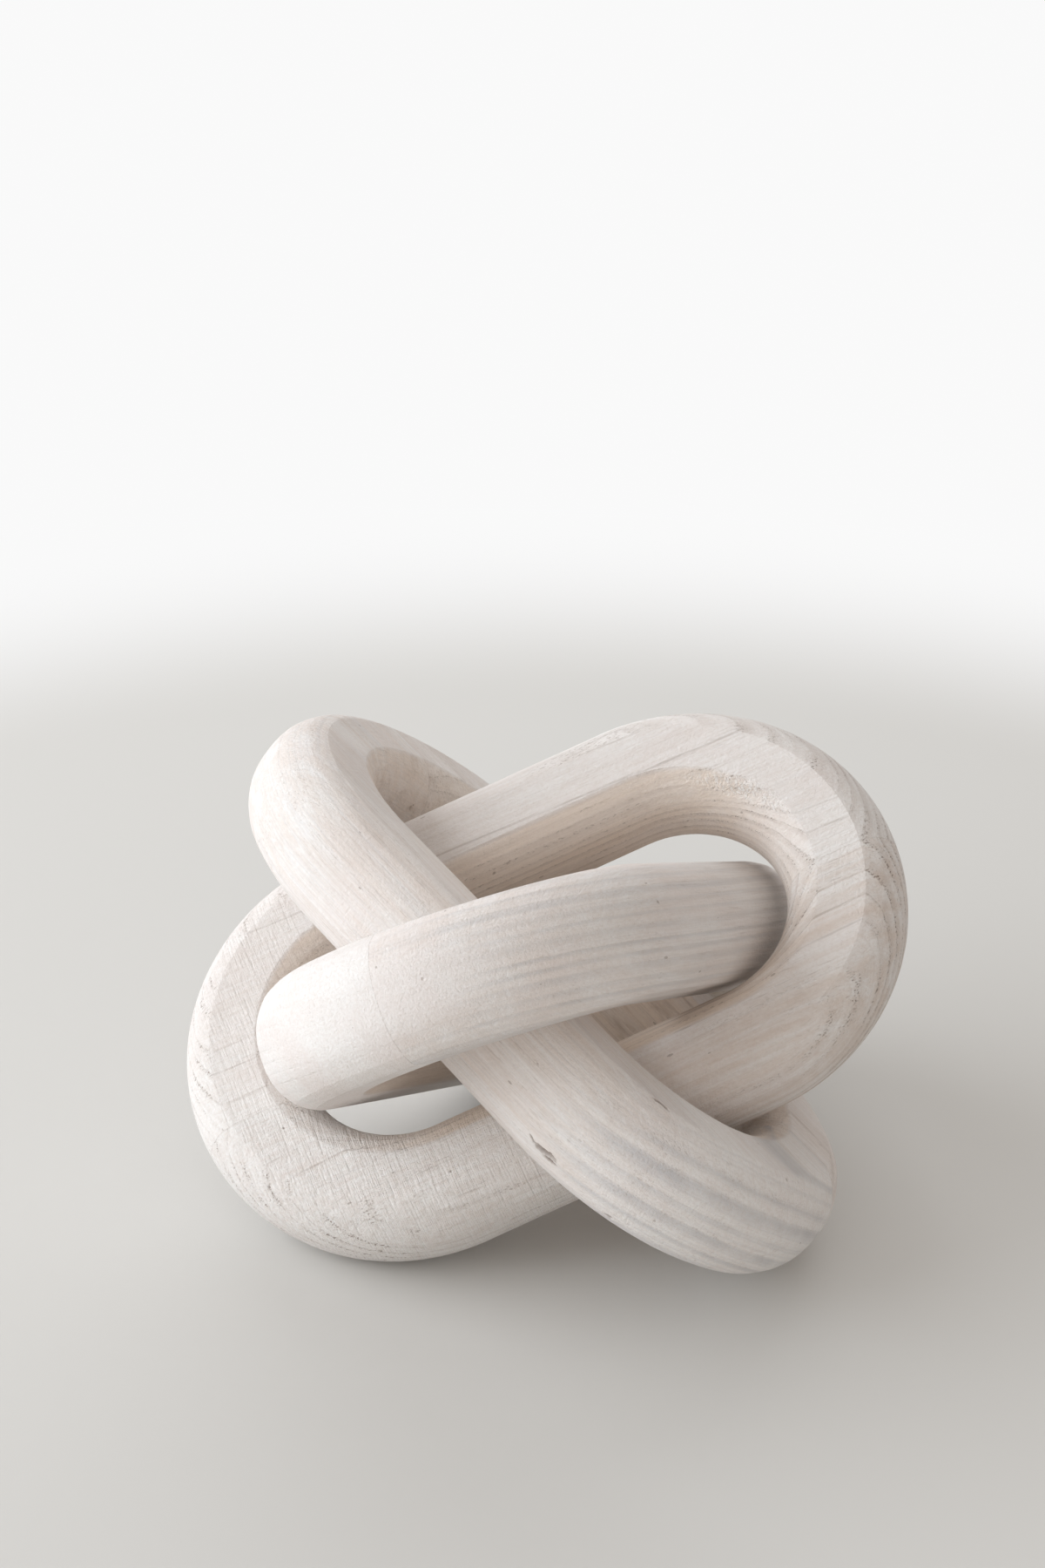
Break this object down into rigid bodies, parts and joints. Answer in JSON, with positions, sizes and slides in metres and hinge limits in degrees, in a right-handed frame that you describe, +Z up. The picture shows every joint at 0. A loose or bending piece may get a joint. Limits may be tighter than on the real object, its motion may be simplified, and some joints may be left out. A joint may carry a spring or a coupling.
{
  "type": "wooden knot ornament",
  "caption": "Table ornament of long wooden links, each glued from staves, threaded so that none comes free of the others",
  "frame": {"origin": "on the table, under the middle of the knot's box", "axes": "+Z up; the front, towards -Y, is the side that the picture shows; +X to the right of it"},
  "size_m": [0.1736, 0.1594, 0.1087],
  "materials": {
    "whitewashed_wood": "matte whitewash over light soft wood, grain showing",
    "dowel_wood": "bare turned beech"
  },
  "bodies": {
    "closing_link": {"closing_link_right_half": "whitewashed_wood", "closing_link_left_half": "whitewashed_wood", "closing_link_front_dowel": "dowel_wood", "closing_link_back_dowel": "dowel_wood"},
    "facing_link": {"facing_link_upper_half": "whitewashed_wood", "facing_link_lower_half": "whitewashed_wood"},
    "crossing_link": {"crossing_link_near_half": "whitewashed_wood", "crossing_link_far_half": "whitewashed_wood"}
  },
  "joints": [
    {"name": "facing_link_tip", "type": "hinge", "parent": "closing_link", "child": "facing_link", "pos_m": [0, 0.0001, 0.0544], "axis": [0.6791, -0.576, -0.455], "range_deg": [0, 27]},
    {"name": "crossing_link_tip", "type": "hinge", "parent": "closing_link", "child": "crossing_link", "pos_m": [-0.0015, 0.0003, 0.0539], "axis": [0.032, 0.9047, -0.4249], "range_deg": [0, 27]}
  ]
}
